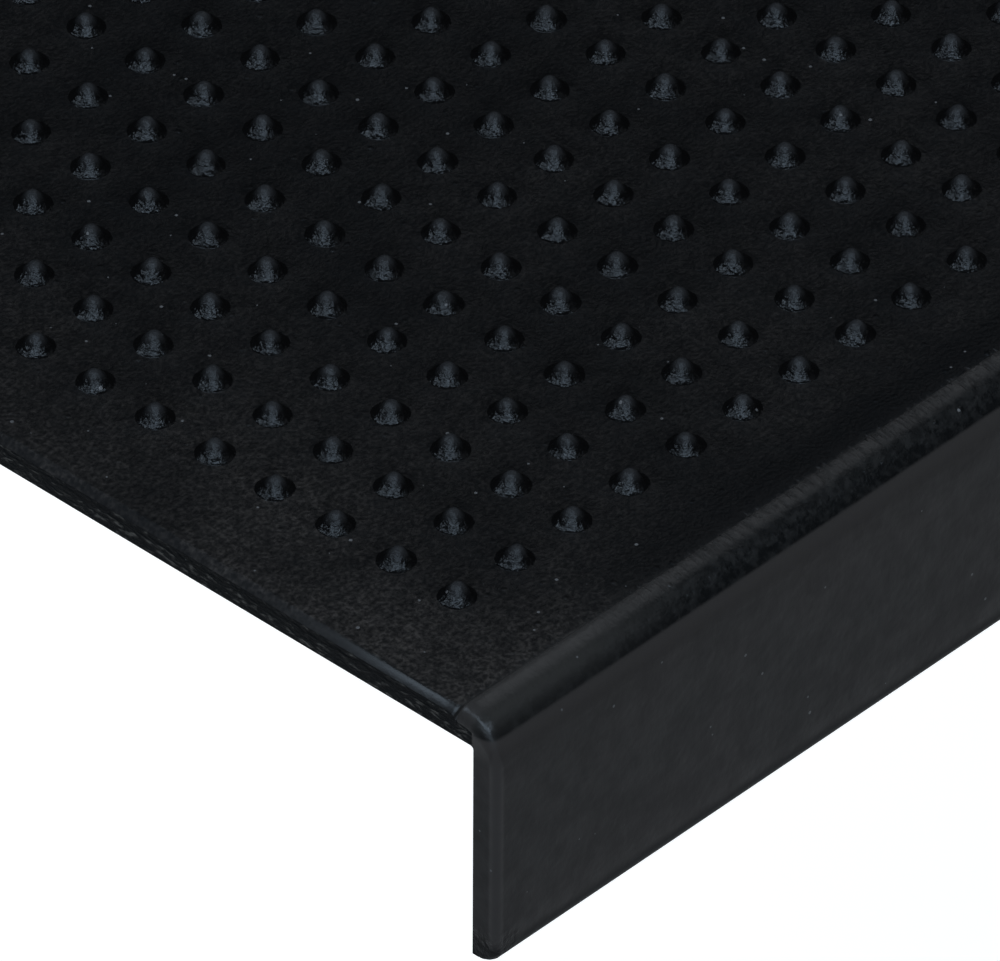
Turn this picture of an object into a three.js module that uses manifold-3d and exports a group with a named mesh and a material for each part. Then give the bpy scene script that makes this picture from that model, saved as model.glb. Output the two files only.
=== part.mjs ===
// Anti slip stair tread mat, moulded in one piece of black rubber.
// A studded plate lies on the step, a rounded nose wraps the step's edge and a lip hangs down over the riser.
// Millimetres. X runs along the step's edge, Y goes back over the tread and Z is up.
// The origin is on the step's edge, where the tread's top and the riser's face meet, half way along the mat.

import * as THREE from "three";
import { mergeGeometries, mergeVertices } from "three/addons/utils/BufferGeometryUtils.js";
import Module from "manifold-3d";

// Overall size
const matWidth = 650;
const matDepth = 250;

// Plate and lip
const plateThickness = 4.7;
const lipThickness = 4.6;
const lipDrop = 38;

// Nose: a raised quarter round that starts at a moulded crease
const noseRadius = 7.4;
const noseRise = 0.6;
const shoulderWidth = 0.6;
const dipWidth = 3;
const dipDepth = 0.3;
const innerCornerRadius = 0.6;

// Rounded edges of the outside
const backEdgeRadius = 1.2;
const lipEdgeRadius = 2.4;
const endRoundLength = 1.5;
const rimInset = 1.6;
const frontCornerInset = 1.8;

// Studs, set out on a square grid
const studPitch = 12;
const studRadius = 3;
const studHeight = 2.6;
const studRoot = 1;
const creaseToStuds = 17.7;
const leastStudMargin = 15;

// Facets
const studSides = 5;
const noseSteps = 10;
const cornerSteps = 4;
const shoulderSteps = 2;
const endSteps = 3;

// Places that follow from the sizes above
const frontY = -lipThickness;
const backY = frontY + matDepth;
const noseCentreY = frontY + noseRadius;
const noseCentreZ = plateThickness + noseRise - noseRadius;
const creaseY = noseCentreY + shoulderWidth;
const firstRowY = creaseY + creaseToStuds;

const wasm = await Module();
wasm.setup();

// A quarter of a circle or an ellipse, as points of the section
function quarter(y, z, radiusY, radiusZ, from, clockwise, steps) {
  const to = from + (clockwise ? -Math.PI / 2 : Math.PI / 2);
  return new THREE.EllipseCurve(y, z, radiusY, radiusZ, from, to, clockwise).getPoints(steps);
}

// The mat's section, seen along X. The inset share, 0 to 1, draws the outside faces in and leaves the inside ones.
function sectionOutline(insetShare) {
  const drawnIn = insetShare * rimInset;
  const drawnBack = insetShare * frontCornerInset;
  const top = plateThickness - drawnIn;
  const crest = plateThickness + noseRise - drawnIn;
  const front = frontY + drawnBack;

  const insideCorner = quarter(
    innerCornerRadius,
    -innerCornerRadius,
    innerCornerRadius,
    innerCornerRadius,
    Math.PI,
    true,
    cornerSteps,
  );
  const backEdge = quarter(
    backY - backEdgeRadius,
    top - backEdgeRadius,
    backEdgeRadius,
    backEdgeRadius,
    0,
    false,
    cornerSteps,
  );
  const creaseBottom = new THREE.Vector2(creaseY, top - dipDepth);
  const shoulder = new THREE.QuadraticBezierCurve(
    creaseBottom,
    new THREE.Vector2(creaseY, crest),
    new THREE.Vector2(noseCentreY, crest),
  ).getPoints(shoulderSteps);
  const nose = quarter(
    noseCentreY,
    noseCentreZ,
    noseCentreY - front,
    crest - noseCentreZ,
    Math.PI / 2,
    false,
    noseSteps,
  );
  const lipEdge = quarter(
    front + lipEdgeRadius,
    lipEdgeRadius - lipDrop,
    lipEdgeRadius,
    lipEdgeRadius,
    Math.PI,
    false,
    cornerSteps,
  );
  return [
    ...insideCorner,
    new THREE.Vector2(backY, 0),
    ...backEdge,
    new THREE.Vector2(creaseY + dipWidth, top),
    ...shoulder,
    ...nose.slice(1),
    ...lipEdge,
    new THREE.Vector2(0, -lipDrop),
  ];
}

// The sections from one end to the other, closer together where the ends are rounded
function endToEndSections() {
  const halfWidth = matWidth / 2;
  const sections = [];
  for (let step = 0; step <= endSteps; step += 1) {
    const angle = (step / endSteps) * (Math.PI / 2);
    const outline = sectionOutline(1 - Math.sin(angle));
    const x = halfWidth - endRoundLength * (1 - Math.cos(angle));
    sections.splice(step, 0, { x: -x, outline });
    sections.splice(sections.length - step, 0, { x, outline });
  }
  return sections;
}

// A closed skin over a row of sections that all have the same number of points
function skin(sections) {
  const count = sections[0].outline.length;
  const positions = sections.flatMap(({ x, outline }) => outline.flatMap((point) => [x, point.x, point.y]));
  const index = [];
  for (let ring = 0; ring + 1 < sections.length; ring += 1) {
    for (let point = 0; point < count; point += 1) {
      const here = ring * count + point;
      const next = ring * count + ((point + 1) % count);
      index.push(here, next, next + count, here, next + count, here + count);
    }
  }
  const lastRing = (sections.length - 1) * count;
  for (const [a, b, c] of THREE.ShapeUtils.triangulateShape(sections[0].outline, [])) {
    index.push(a, c, b, lastRing + a, lastRing + b, lastRing + c);
  }
  const geometry = new THREE.BufferGeometry();
  geometry.setAttribute("position", new THREE.Float32BufferAttribute(positions, 3));
  geometry.setIndex(index);
  return geometry;
}

// The studs: pointed cones on a square grid, centred across the mat and rooted a little below its top
function studs() {
  const rowLength = matWidth - 2 * leastStudMargin;
  const columns = Math.floor(rowLength / studPitch) + 1;
  const rows = Math.floor((backY - leastStudMargin - firstRowY) / studPitch) + 1;
  const rootedHeight = studHeight + studRoot;
  const rootRadius = (studRadius * rootedHeight) / studHeight;
  const stud = new THREE.ConeGeometry(rootRadius, rootedHeight, studSides);
  stud.rotateX(Math.PI / 2);
  stud.translate(0, 0, plateThickness + studHeight - rootedHeight / 2);
  const copies = [];
  for (let row = 0; row < rows; row += 1) {
    for (let column = 0; column < columns; column += 1) {
      const x = (column - (columns - 1) / 2) * studPitch;
      copies.push(stud.clone().translate(x, firstRowY + row * studPitch, 0));
    }
  }
  return mergeGeometries(copies);
}

// A geometry as a solid that can be joined
function solidFrom(geometry) {
  geometry.deleteAttribute("normal");
  geometry.deleteAttribute("uv");
  const merged = mergeVertices(geometry);
  const mesh = new wasm.Mesh({
    numProp: 3,
    vertProperties: new Float32Array(merged.attributes.position.array),
    triVerts: new Uint32Array(merged.index.array),
  });
  return new wasm.Manifold(mesh);
}

// A joined solid as a geometry
function geometryFrom(solid) {
  const mesh = solid.getMesh();
  const geometry = new THREE.BufferGeometry();
  geometry.setAttribute("position", new THREE.BufferAttribute(mesh.vertProperties, 3));
  geometry.setIndex(new THREE.BufferAttribute(mesh.triVerts, 1));
  geometry.computeVertexNormals();
  return geometry;
}

const blackRubber = new THREE.MeshStandardMaterial({
  color: 0x1b1d1f,
  roughness: 0.5,
  metalness: 0,
  flatShading: true,
});

const plateAndLip = solidFrom(skin(endToEndSections()));
const matSolid = plateAndLip.add(solidFrom(studs()));

const treadMat = new THREE.Mesh(geometryFrom(matSolid), blackRubber);
treadMat.name = "tread_mat";

const stairTreadMat = new THREE.Group();
stairTreadMat.add(treadMat);

export default stairTreadMat;
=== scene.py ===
import math
import random

import bpy
from mathutils import Matrix, Vector


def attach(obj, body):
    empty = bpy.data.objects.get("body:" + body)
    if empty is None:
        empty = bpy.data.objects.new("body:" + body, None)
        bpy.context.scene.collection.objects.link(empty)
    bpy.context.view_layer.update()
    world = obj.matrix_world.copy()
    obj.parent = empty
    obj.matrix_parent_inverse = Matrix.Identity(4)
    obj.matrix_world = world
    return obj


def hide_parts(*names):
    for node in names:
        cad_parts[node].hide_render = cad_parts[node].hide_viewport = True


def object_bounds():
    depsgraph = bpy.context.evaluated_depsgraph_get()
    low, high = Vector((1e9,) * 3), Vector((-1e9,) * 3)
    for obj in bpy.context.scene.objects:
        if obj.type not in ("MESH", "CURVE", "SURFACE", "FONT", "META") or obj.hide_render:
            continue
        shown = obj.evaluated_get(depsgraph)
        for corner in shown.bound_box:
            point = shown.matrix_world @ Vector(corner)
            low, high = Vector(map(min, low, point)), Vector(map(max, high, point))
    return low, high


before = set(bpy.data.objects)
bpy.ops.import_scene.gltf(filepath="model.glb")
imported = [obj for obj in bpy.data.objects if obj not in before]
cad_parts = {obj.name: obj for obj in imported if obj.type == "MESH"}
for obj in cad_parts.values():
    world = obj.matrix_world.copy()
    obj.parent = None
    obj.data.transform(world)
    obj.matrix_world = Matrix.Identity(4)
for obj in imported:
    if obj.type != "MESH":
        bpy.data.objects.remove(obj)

cad_low, cad_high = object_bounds()

# View of the mat
# A long lens looks down at the front left corner of the mat from the lower side of the step, so that the rows of
# studs hardly converge. The camera's place is counted in stud pitches from the foot of the stud nearest that corner.
MM = 0.001
stud_pitch = 12 * MM
stud_columns = 52
stud_rows = 18
first_row_from_front = 25.7 * MM
plate_thickness = 4.7 * MM
first_stud = Vector((
    -(stud_columns - 1) / 2 * stud_pitch,
    cad_low.y + first_row_from_front,
    plate_thickness,
))
camera_azimuth = math.radians(46.868)
camera_elevation = math.radians(38.373)
camera_roll = math.radians(-0.282)
camera_distance = 271.0
camera_sideways = -0.508
camera_downwards = 1.383
focal_pixels = 22761
picture_width = 1000
sensor_width = 36.0

towards_camera = Vector((
    -math.sin(camera_azimuth) * math.cos(camera_elevation),
    -math.cos(camera_azimuth) * math.cos(camera_elevation),
    math.sin(camera_elevation),
))
level_right = (-towards_camera).cross(Vector((0, 0, 1))).normalized()
level_down = (-towards_camera).cross(level_right)
camera_right = math.cos(camera_roll) * level_right + math.sin(camera_roll) * level_down
camera_down = math.cos(camera_roll) * level_down - math.sin(camera_roll) * level_right
camera_place = first_stud + stud_pitch * (
    camera_distance * towards_camera - camera_sideways * camera_right - camera_downwards * camera_down
)
camera_data = bpy.data.cameras.new("camera")
camera_data.sensor_fit = "HORIZONTAL"
camera_data.sensor_width = sensor_width
camera_data.lens = focal_pixels / picture_width * sensor_width
camera = bpy.data.objects.new("camera", camera_data)
turn = Matrix((camera_right, -camera_down, towards_camera)).transposed().to_4x4()
camera.matrix_world = Matrix.Translation(camera_place) @ turn
bpy.context.scene.collection.objects.link(camera)
bpy.context.scene.camera = camera


# Section of the mat
# The mat is pressed in one piece from a sheet of hot rubber. Its section is a flat plate, a raised nose that starts
# at a moulded crease and turns down as a quarter round, and a straight lip that hangs in front of the riser.
nose_radius = 7.4 * MM
nose_rise = 0.6 * MM
inner_corner_radius = 0.6 * MM
back_edge_radius = 1.2 * MM
lip_edge_radius = 2.4 * MM
dip_width = 3.0 * MM
dip_depth = 0.3 * MM
shoulder_width = 0.6 * MM
groove_edge = 0.40 * MM
groove_bottom = 0.12 * MM
nose_centre_y = cad_low.y + nose_radius
nose_centre_z = plate_thickness + nose_rise - nose_radius
crease_y = nose_centre_y + shoulder_width


def arc(y, z, radius_y, radius_z, start, end, steps):
    """Points of an arc in the section, with its angles in degrees."""
    angles = [math.radians(start + (end - start) * step / steps) for step in range(steps + 1)]
    return [(y + radius_y * math.cos(angle), z + radius_z * math.sin(angle)) for angle in angles]


def even_places(start, end, steps):
    """Places from start to end at even steps, with the end left out."""
    return [start + (end - start) * step / steps for step in range(steps)]


stud_steps = 3
field_front = first_stud.y - stud_pitch / 2
field_back = field_front + stud_rows * stud_pitch


def section(top_inset, front_inset, nose_inset, groove):
    """The outline seen along X, and the number of its point at the back of the field of studs.

    The top, the front and the nose are each drawn in by their inset, and the crease is deeper by the groove.
    """
    top = plate_thickness - top_inset
    crest = plate_thickness + nose_rise - nose_inset
    front = cad_low.y + front_inset
    inner = inner_corner_radius
    points = arc(inner, -inner, inner, inner, 180, 90, 6)
    points += [(y, 0.0) for y in even_places(inner, cad_high.y, 4)[1:]]
    points += [(cad_high.y, 0.0), (cad_high.y, 0.5 * (top - back_edge_radius))]
    points += arc(
        cad_high.y - back_edge_radius, top - back_edge_radius, back_edge_radius, back_edge_radius, 0, 90, 5
    )
    points += [(y, top) for y in even_places(cad_high.y - back_edge_radius, field_back, 3)[1:]]
    field_start = len(points)
    points += [(y, top) for y in even_places(field_back, field_front, stud_rows * stud_steps)]
    points += [(y, top) for y in even_places(field_front, crease_y + dip_width, 3)]
    for share in even_places(0.0, 1.0, 5):
        y = crease_y + dip_width * (1 - share)
        points.append((y, top - dip_depth * share * share))
    points.append((crease_y + groove_edge, top - dip_depth - 0.2 * groove))
    points.append((crease_y + groove_bottom, top - dip_depth - groove))
    for share in (0.25, 0.5, 0.75):
        y = crease_y - shoulder_width * share * share
        z = top - dip_depth + (crest - top + dip_depth) * (1 - (1 - share) ** 2)
        points.append((y, z))
    points += arc(nose_centre_y, nose_centre_z, nose_centre_y - front, crest - nose_centre_z, 90, 180, 14)
    points += [(front, z) for z in even_places(nose_centre_z, lip_edge_radius + cad_low.z, 6)[1:]]
    points += arc(
        front + lip_edge_radius, cad_low.z + lip_edge_radius, lip_edge_radius, lip_edge_radius, 180, 270, 6
    )
    points += [(0.0, cad_low.z)]
    points += [(0.0, z) for z in even_places(cad_low.z, -inner, 5)[1:]]
    return points, field_start


# Ends of the mat
# The mould rounds the rim of the plate, and more of the corners of the nose and the lip. The nose ends in a small ball
# beside a notch, where the crease runs out. Below the rim the wall is flat, where the rubber was trimmed.
rim_width = 1.4 * MM
rim_height = 1.0 * MM
rim_bend = 1.3
front_corner_radius = 1.2 * MM
nose_end_radius = 2.9 * MM
notch_depth = 0.6 * MM
notch_reach = 1.6 * MM
crease_groove = 0.55 * MM
crease_reach = 19 * MM


def drawn_in(distance, reach, depth):
    """How far a rounded edge has drawn in at a distance from the end face."""
    share = min(distance / reach, 1.0)
    return depth * (1 - math.sqrt(1 - (1 - share) ** 2))


def rim_drop(distance):
    """How far the top has come down at a distance from the end face."""
    return rim_height * (1 - min(distance / rim_width, 1.0)) ** rim_bend


def station(distance):
    """The section at a distance from an end of the mat."""
    groove = crease_groove * math.exp(-(distance / crease_reach) ** 2)
    groove += notch_depth * math.exp(-(distance / notch_reach) ** 2)
    return section(
        rim_drop(distance),
        drawn_in(distance, front_corner_radius, front_corner_radius),
        drawn_in(distance, nose_end_radius, nose_end_radius),
        groove,
    )


end_distances = [0.0, 0.03, 0.1, 0.22, 0.38, 0.58, 0.8, 1.0, 1.2, 1.4, 1.7, 2.2, 2.9, 3.8, 6.0]
half_width = cad_high.x
field_left = first_stud.x - stud_pitch / 2
field_right = -field_left

sections = []
left_places = [distance * MM for distance in end_distances]
margin_places = even_places(left_places[-1], half_width + field_left, 4)[1:]
for distance in left_places + margin_places:
    sections.append((-half_width + distance, station(distance)[0]))
field_station = len(sections)
for x in even_places(field_left, field_right, stud_columns * stud_steps):
    sections.append((x, station(min(x + half_width, half_width - x))[0]))
sections.append((field_right, station(half_width - field_right)[0]))
for distance in reversed(left_places + margin_places):
    sections.append((half_width - distance, station(distance)[0]))
field_point = station(half_width)[1]


# Studs
# Each stud is a short cone with a rounded tip and a small fillet at its foot. They are moulded with the plate, and no
# two are quite alike, because the rubber did not fill every hole of the mould in the same way.
stud_profile = [
    (3.14, 0.00), (2.98, 0.07), (2.72, 0.27), (2.04, 0.91), (1.34, 1.66), (0.86, 2.25), (0.44, 2.53),
]
stud_tip = 2.6
stud_sides = 4 * stud_steps
stud_heights = (0.92, 1.0)
stud_girths = (0.97, 1.03)
stud_lean = 0.12
seed = random.Random(7)


def stud_patch(mesh_points, faces, rim, centre):
    """Replaces a square cell of the plate by a stud. rim is the cell's edge, counter-clockwise from a corner."""
    height = seed.uniform(*stud_heights)
    girth = seed.uniform(*stud_girths)
    lean = Vector((seed.gauss(0, stud_lean), seed.gauss(0, stud_lean), 0)) * MM
    inner = rim
    for radius, rise in stud_profile:
        ring = []
        for side in range(stud_sides):
            angle = math.radians(225 + 360 * side / stud_sides)
            share = rise / stud_tip
            out = Vector((math.cos(angle), math.sin(angle), 0)) * radius * girth * MM
            ring.append(len(mesh_points))
            mesh_points.append(centre + out + lean * share + Vector((0, 0, rise * height * MM)))
        for side in range(stud_sides):
            following = (side + 1) % stud_sides
            faces.append((inner[side], inner[following], ring[following], ring[side]))
        inner = ring
    tip = len(mesh_points)
    mesh_points.append(centre + lean + Vector((0, 0, stud_tip * height * MM)))
    for side in range(stud_sides):
        faces.append((inner[side], inner[(side + 1) % stud_sides], tip))


# The whole skin
# Plate, nose, lip and studs are one closed skin without a seam, as they are one moulding.
mesh_points = []
index_of = {}
outline_length = len(sections[0][1])


def skin_point(place, along):
    """The number of a point of the skin, made when it is first asked for."""
    along %= outline_length
    if (place, along) not in index_of:
        x, outline = sections[place]
        y, z = outline[along]
        index_of[(place, along)] = len(mesh_points)
        mesh_points.append(Vector((x, y, z)))
    return index_of[(place, along)]


faces = []
field_places = range(field_station, field_station + stud_columns * stud_steps)
field_points = range(field_point, field_point + stud_rows * stud_steps)
for place in range(len(sections) - 1):
    for along in range(outline_length):
        if place in field_places and along in field_points:
            continue
        faces.append((
            skin_point(place, along),
            skin_point(place, along + 1),
            skin_point(place + 1, along + 1),
            skin_point(place + 1, along),
        ))
for column in range(stud_columns):
    for row in range(stud_rows):
        left = field_station + column * stud_steps
        back = field_point + row * stud_steps
        steps = range(stud_steps)
        rim = [skin_point(left + step, back + stud_steps) for step in steps]
        rim += [skin_point(left + stud_steps, back + stud_steps - step) for step in steps]
        rim += [skin_point(left + stud_steps - step, back) for step in steps]
        rim += [skin_point(left, back + step) for step in steps]
        centre = Vector((
            field_left + (column + 0.5) * stud_pitch,
            field_back - (row + 0.5) * stud_pitch,
            plate_thickness,
        ))
        stud_patch(mesh_points, faces, rim, centre)
last = len(sections) - 1
faces.append([skin_point(0, along) for along in reversed(range(outline_length))])
faces.append([skin_point(last, along) for along in range(outline_length)])

mat_mesh = bpy.data.meshes.new("rubber_mat")
mat_mesh.from_pydata(mesh_points, [], [tuple(face) for face in faces])
mat_mesh.validate()
rubber_mat = bpy.data.objects.new("rubber_mat", mat_mesh)
bpy.context.scene.collection.objects.link(rubber_mat)
for polygon in mat_mesh.polygons:
    polygon.use_smooth = len(polygon.vertices) <= 4


# Rubber
# Black rubber straight from the mould. The nose and the studs are smooth and a little glossy, and the lip is duller.
# The plate has a coarse grain and holds grey dust, most of it near the ends of the mat, where feet seldom tread. The
# trimmed wall is rough.
rubber = bpy.data.materials.new("black_rubber")
rubber.use_nodes = True
nodes = rubber.node_tree.nodes
links = rubber.node_tree.links
shader = nodes["Principled BSDF"]
shader.inputs["Specular IOR Level"].default_value = 0.07
shader.inputs["Specular Tint"].default_value = (0.82, 0.91, 1.0, 1)
coordinates = nodes.new("ShaderNodeTexCoord").outputs["Object"]
place = nodes.new("ShaderNodeSeparateXYZ")
links.new(coordinates, place.inputs[0])
place_x, place_y, place_z = place.outputs


def plug(value, socket):
    """Sets a socket to a number, or links it to another socket."""
    if isinstance(value, (int, float)):
        socket.default_value = value
    else:
        links.new(value, socket)


def combine(operation, first, second=0.0):
    """The result of a sum on two numbers or sockets."""
    node = nodes.new("ShaderNodeMath")
    node.operation = operation
    plug(first, node.inputs[0])
    plug(second, node.inputs[1])
    return node.outputs[0]


def times(first, *others):
    """The product of numbers and sockets."""
    for other in others:
        first = combine("MULTIPLY", first, other)
    return first


def plus(first, *others):
    """The sum of numbers and sockets."""
    for other in others:
        first = combine("ADD", first, other)
    return first


def minus(first, second):
    """The difference of two numbers or sockets."""
    return combine("SUBTRACT", first, second)


def rise(value, start, end, low=0.0, high=1.0):
    """Goes smoothly from low to high while the value goes from start to end."""
    node = nodes.new("ShaderNodeMapRange")
    node.interpolation_type = "SMOOTHSTEP"
    plug(value, node.inputs["Value"])
    for name, number in (("From Min", start), ("From Max", end), ("To Min", low), ("To Max", high)):
        node.inputs[name].default_value = number
    return node.outputs["Result"]


def choose(share, first, second):
    """The first value where the share is 0, the second where it is 1."""
    return plus(first, times(share, minus(second, first)))


def blend(share, first, second):
    """A colour between two colours or colour sockets."""
    node = nodes.new("ShaderNodeMix")
    node.data_type = "RGBA"
    plug(share, node.inputs["Factor"])
    for value, socket in ((first, node.inputs[6]), (second, node.inputs[7])):
        if isinstance(value, tuple):
            socket.default_value = (*value, 1)
        else:
            links.new(value, socket)
    return node.outputs[2]


def noise(scale, detail, stretch=(1, 1, 1)):
    """Noise from 0 to 1, mostly near a half. The scale counts its bumps in a metre."""
    mapping = nodes.new("ShaderNodeMapping")
    mapping.inputs["Scale"].default_value = stretch
    links.new(coordinates, mapping.inputs["Vector"])
    node = nodes.new("ShaderNodeTexNoise")
    node.inputs["Scale"].default_value = scale
    node.inputs["Detail"].default_value = detail
    links.new(mapping.outputs[0], node.inputs["Vector"])
    return node.outputs["Fac"]


def scattered_dots(scale):
    """How far the nearest dot is, counted in their spacing, and a number from 0 to 1 that this dot has drawn."""
    node = nodes.new("ShaderNodeTexVoronoi")
    node.inputs["Scale"].default_value = scale
    links.new(coordinates, node.inputs["Vector"])
    drawn = nodes.new("ShaderNodeSeparateColor")
    links.new(node.outputs["Color"], drawn.inputs[0])
    return node.outputs["Distance"], drawn.outputs[0]


def even(value, size):
    """A relief of that size in millimetres, as much above the surface as below it."""
    return times(minus(value, 0.5), size)


def from_stud_line(place, start):
    """The distance from the middle of a row of studs."""
    cell = combine("FRACT", combine("DIVIDE", minus(place, start), stud_pitch))
    return times(minus(cell, 0.5), stud_pitch)


fine_grain = noise(1500, 2)
mottle = noise(700, 3)
coarse_grain = noise(330, 2)
waves = noise(70, 2)
patches = noise(45, 4)
strokes = noise(1, 3, (1000, 200, 200))
trim_marks = noise(1, 3, (1, 600, 1900))

# Where the plate, the studs, the nose, the lip and the trimmed wall are, each as a share from 0 to 1
from_middle = combine("ABSOLUTE", place_x)
away_from_end = rise(from_middle, half_width - 15 * MM, half_width - 50 * MM)
behind_crease = rise(place_y, crease_y + 0.1 * MM, crease_y + 0.8 * MM)
stud_side_x = combine("POWER", from_stud_line(place_x, field_left), 2.0)
stud_side_y = combine("POWER", from_stud_line(place_y, field_front), 2.0)
from_stud = plus(combine("SQRT", plus(stud_side_x, stud_side_y)), even(coarse_grain, 0.5 * MM))
on_stud = times(
    rise(from_stud, 3.08 * MM, 2.90 * MM),
    rise(place_z, plate_thickness + 0.005 * MM, plate_thickness + 0.03 * MM),
    rise(place_y, crease_y + 3 * MM, crease_y + 4 * MM),
)
lit_stud_tip = rise(place_z, plate_thickness + 0.9 * MM, plate_thickness + 2.5 * MM)
on_rim = times(behind_crease, rise(from_middle, half_width - 1.5 * MM, half_width - 1.1 * MM))
worn_rim = times(on_rim, rise(place_y, 50 * MM, 20 * MM))
on_wall = times(
    rise(from_middle, half_width - 0.05 * MM, half_width - 0.01 * MM),
    rise(place_y, 0, 0.5 * MM),
)
uneven_y = plus(place_y, times(away_from_end, even(strokes, 5 * MM)))
on_crest = times(
    rise(place_y, crease_y - 3.7 * MM, crease_y - 2.2 * MM),
    rise(uneven_y, crease_y + 0.6 * MM, crease_y - 0.2 * MM),
)
on_lip = rise(place_z, 2.3 * MM, 1.8 * MM)
# Painted light: the rounded corner of the lip gets a painted highlight, and the band where the nose turns down into
# the lip is painted paler
lip_corner_highlight = times(
    rise(from_middle, half_width - 1.8 * MM, half_width - 0.9 * MM),
    rise(place_y, cad_low.y + 1.8 * MM, cad_low.y + 0.9 * MM),
)
lip_painted_light = combine("MAXIMUM", lip_corner_highlight, rise(place_z, -3 * MM, 1.5 * MM))
# The rounded bottom edge of the lip, where painted shade goes
shaded_lip_edge = rise(place_z, cad_low.z + 4.2 * MM, cad_low.z + 1.8 * MM)
on_scar = times(
    rise(from_middle, half_width - 6 * MM, half_width - 2 * MM),
    rise(place_z, cad_low.z + 6.5 * MM, cad_low.z + 2.5 * MM),
)

# Dust, which lies on the plate near its ends and its front. In the dip behind the crease most of the dust grey is
# taken out, which paints the dip darker as painted shade
near_end = rise(from_middle, half_width - 50 * MM, half_width, 0.36, 1.0)
near_front = rise(place_y, 110 * MM, 0.0, 0.7, 1.0)
dip_painted_shade = times(
    rise(place_y, crease_y + 10 * MM, crease_y + 4 * MM),
    rise(from_middle, half_width - 30 * MM, half_width - 80 * MM),
)
plate_dust_and_dip_shade = times(
    near_end,
    near_front,
    minus(1.0, times(dip_painted_shade, 0.9)),
    rise(patches, 0.3, 0.7, 0.6, 1.4),
    rise(mottle, 0.35, 0.65, 0.6, 1.4),
    rise(fine_grain, 0.34, 0.72, 0.14, 0.56),
)
# Near the ends of the mat the nose is paler grey, and more so towards its top
nose_end_paling = times(minus(1.0, away_from_end), rise(place_z, 2.2 * MM, 4.6 * MM, 0.3, 1.0))
# Painted light: a paler band along the crest of the nose, broken into fine streaks away from the ends
crest_painted_light = times(on_crest, choose(away_from_end, 0.85, rise(strokes, 0.35, 0.65, 0.5, 1.0)))

# Colour
plate_colour = blend(plate_dust_and_dip_shade, (0.0012, 0.0013, 0.0015), (0.0195, 0.0178, 0.0169))
nose_colour = blend(rise(mottle, 0.42, 0.66), (0.0024, 0.0026, 0.0028), (0.0060, 0.0062, 0.0064))
nose_colour = blend(nose_end_paling, nose_colour, (0.0110, 0.0108, 0.0104))
lip_colour = blend(rise(patches, 0.35, 0.65), (0.0007, 0.0005, 0.0004), (0.0024, 0.0018, 0.0017))
# Painted highlight on the rounded corner of the lip, and painted light where the nose turns down into it
lip_colour = blend(lip_painted_light, lip_colour, (0.0160, 0.0148, 0.0143))
# The tips of the studs are painted paler grey, as painted light from above
stud_colour = blend(lit_stud_tip, (0.0014, 0.0014, 0.0015), (0.0095, 0.0099, 0.0108))
wall_colour = blend(rise(trim_marks, 0.52, 0.75), (0.0016, 0.0016, 0.0016), (0.0440, 0.0420, 0.0390))
# A wavy black line is painted on the wall just below the rim, as painted shade under the rim
shade_line_height = plus(2.5 * MM, times(coarse_grain, 0.8 * MM))
from_shade_line = combine("ABSOLUTE", minus(place_z, shade_line_height))
wall_colour = blend(rise(from_shade_line, 0.5 * MM, 0.25 * MM), wall_colour, (0.0002, 0.0002, 0.0002))

colour = blend(behind_crease, nose_colour, plate_colour)
# Painted light on the crest of the nose
colour = blend(crest_painted_light, colour, (0.0155, 0.0147, 0.0144))
colour = blend(on_lip, colour, lip_colour)
# The bottom edge of the lip is painted near black, as painted shade
colour = blend(shaded_lip_edge, colour, (0.0010, 0.0010, 0.0010))
colour = blend(worn_rim, colour, (0.0050, 0.0050, 0.0050))
colour = blend(on_stud, colour, stud_colour)
colour = blend(on_wall, colour, wall_colour)
from_speck, speck_drawn = scattered_dots(290)
on_speck = combine("LESS_THAN", from_speck, rise(speck_drawn, 0.35, 1.0, 0.0, 0.085))
colour = blend(on_speck, colour, (0.042, 0.043, 0.045))
links.new(colour, shader.inputs["Base Color"])

# Gloss
plate_roughness = rise(coarse_grain, 0.3, 0.7, 0.40, 0.50)
nose_roughness = plus(rise(coarse_grain, 0.3, 0.7, 0.21, 0.29), times(on_lip, 0.20))
stud_roughness = rise(place_z, plate_thickness + 0.6 * MM, plate_thickness + 2.2 * MM, 0.14, 0.36)
stud_roughness = plus(stud_roughness, times(near_end, near_front, 0.10))
rim_roughness = rise(place_y, 10 * MM, 50 * MM, 0.24, 0.75)
roughness = choose(behind_crease, nose_roughness, plate_roughness)
roughness = choose(on_rim, roughness, rim_roughness)
roughness = choose(on_stud, roughness, stud_roughness)
roughness = choose(shaded_lip_edge, roughness, 0.65)
roughness = choose(on_wall, roughness, 0.85)
links.new(roughness, shader.inputs["Roughness"])

# Relief, in millimetres. The wall leans upwards in it, so that it doesn't mirror the white floor.
wall_lean = 300
from_pimple, pimple_drawn = scattered_dots(420)
pimple = times(rise(from_pimple, 0.26, 0.0), rise(pimple_drawn, 0.5, 1.0))
plate_relief = plus(even(fine_grain, 0.20), even(coarse_grain, 0.14), even(waves, 0.5), times(pimple, 0.22))
smooth_relief = plus(even(mottle, 0.045), even(waves, 0.12))
nose_relief = plus(even(coarse_grain, 0.14), even(fine_grain, 0.14), times(pimple, 0.14))
nose_relief = times(nose_relief, choose(away_from_end, 0.3, 1.0))
nose_relief = plus(smooth_relief, choose(on_lip, nose_relief, 0.0))
relief = choose(behind_crease, nose_relief, plate_relief)
relief = choose(worn_rim, relief, smooth_relief)
relief = choose(on_stud, relief, even(fine_grain, 0.18))
relief = plus(relief, times(on_scar, even(mottle, 0.5)))
relief = choose(on_wall, relief, minus(even(trim_marks, 1.5), times(place_z, wall_lean)))
relief = plus(relief, times(on_crest, away_from_end, even(strokes, 0.5)))
bump = nodes.new("ShaderNodeBump")
bump.inputs["Strength"].default_value = 1.0
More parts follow.
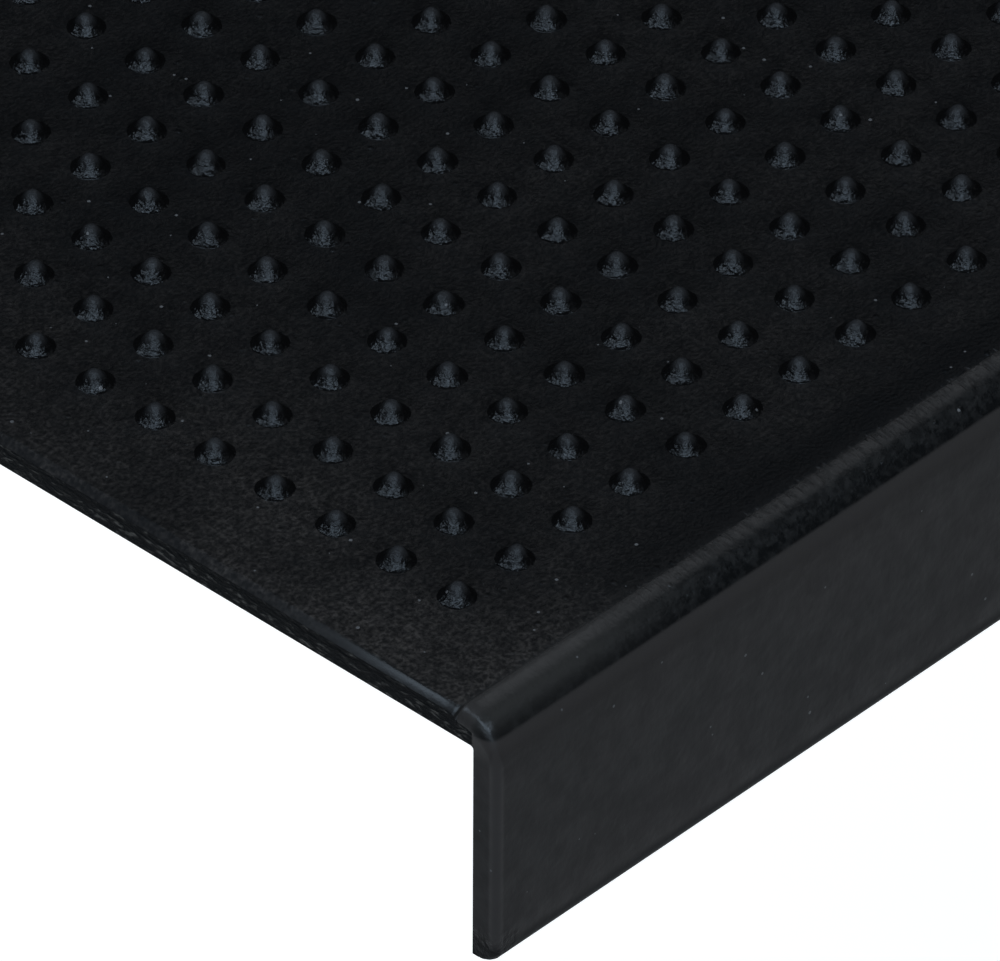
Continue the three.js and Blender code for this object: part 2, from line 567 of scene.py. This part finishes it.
bump.inputs["Distance"].default_value = 1 * MM
links.new(relief, bump.inputs["Height"])
links.new(bump.outputs["Normal"], shader.inputs["Normal"])
mat_mesh.materials.append(rubber)

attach(rubber_mat, "root")
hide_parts("tread_mat")


# Floor and light
# The mat hangs above a white floor. Wide soft lamps in front and on the left give the studs, the rim and the nose
# their highlights, and weak ones on the right keep the rest of the nose from going black.
floor_drop = 0.7
floor_half = 15.0
floor_glow = 0.64
floor_mesh = bpy.data.meshes.new("floor")
floor_corners = [
    Vector((side_x * floor_half, side_y * floor_half, cad_low.z - floor_drop))
    for side_x, side_y in ((-1, -1), (1, -1), (1, 1), (-1, 1))
]
floor_mesh.from_pydata(floor_corners, [], [(0, 1, 2, 3)])
floor = bpy.data.objects.new("floor", floor_mesh)
bpy.context.scene.collection.objects.link(floor)
floor_paint = bpy.data.materials.new("floor")
floor_paint.use_nodes = True
nodes = floor_paint.node_tree.nodes
links = floor_paint.node_tree.links
paint = nodes["Principled BSDF"]
paint.inputs["Base Color"].default_value = (0.80, 0.80, 0.80, 1)
paint.inputs["Roughness"].default_value = 0.9
paint.inputs["Specular IOR Level"].default_value = 0.2
rays = nodes.new("ShaderNodeLightPath")
seen = combine("MAXIMUM", rays.outputs["Is Camera Ray"], rays.outputs["Is Glossy Ray"])
seen = combine("MAXIMUM", seen, rays.outputs["Is Transmission Ray"])
glow = nodes.new("ShaderNodeEmission")
glow.inputs["Color"].default_value = (1, 1, 1, 1)
links.new(times(seen, floor_glow), glow.inputs["Strength"])
both = nodes.new("ShaderNodeAddShader")
links.new(paint.outputs[0], both.inputs[0])
links.new(glow.outputs[0], both.inputs[1])
links.new(both.outputs[0], nodes["Material Output"].inputs["Surface"])
floor_mesh.materials.append(floor_paint)


lamp_distance = 2.0
lit_place = Vector((-0.2, 0.05, 0))
white = (1.0, 1.0, 1.0)
cool_white = (0.80, 0.90, 1.0)
daylight = (0.76, 0.88, 1.0)


def soft_lamp(name, azimuth, elevation, width, height, radiance, colour):
    """A lamp that points at the front of the mat. Azimuth 0 is in front of the step, and 90 on its right."""
    azimuth = math.radians(azimuth)
    elevation = math.radians(elevation)
    out = Vector((
        math.sin(azimuth) * math.cos(elevation),
        -math.cos(azimuth) * math.cos(elevation),
        math.sin(elevation),
    ))
    lamp = bpy.data.lights.new(name, "AREA")
    lamp.shape = "RECTANGLE"
    lamp.size = width
    lamp.size_y = height
    lamp.energy = radiance * math.pi * width * height
    lamp.color = colour
    holder = bpy.data.objects.new(name, lamp)
    holder.location = lit_place + out * lamp_distance
    holder.rotation_mode = "QUATERNION"
    holder.rotation_quaternion = (-out).to_track_quat("-Z", "Y")
    bpy.context.scene.collection.objects.link(holder)


soft_lamp("key_lamp", -47, 56, 1.4, 0.36, 18.0, daylight)
soft_lamp("front_lamp", -47, 38, 2.4, 0.4, 6.5, cool_white)
soft_lamp("front_left_lamp", -91, 57, 1.0, 0.34, 12.5, cool_white)
soft_lamp("front_right_lamp", -3, 57, 1.0, 0.34, 12.5, cool_white)
soft_lamp("left_lamp", -140, 46, 0.5, 0.5, 18.0, cool_white)
soft_lamp("right_rear_lamp", 112, 50, 1.0, 0.5, 2.1, white)
soft_lamp("right_lamp", 60, 50, 1.0, 0.5, 1.0, white)
soft_lamp("low_right_lamp", 42, 6, 2.6, 0.4, 0.7, white)

world = bpy.data.worlds.new("studio")
world.use_nodes = True
world.node_tree.nodes["Background"].inputs["Color"].default_value = (0.02, 0.02, 0.02, 1)
bpy.context.scene.world = world
bpy.context.scene.view_settings.view_transform = "Standard"
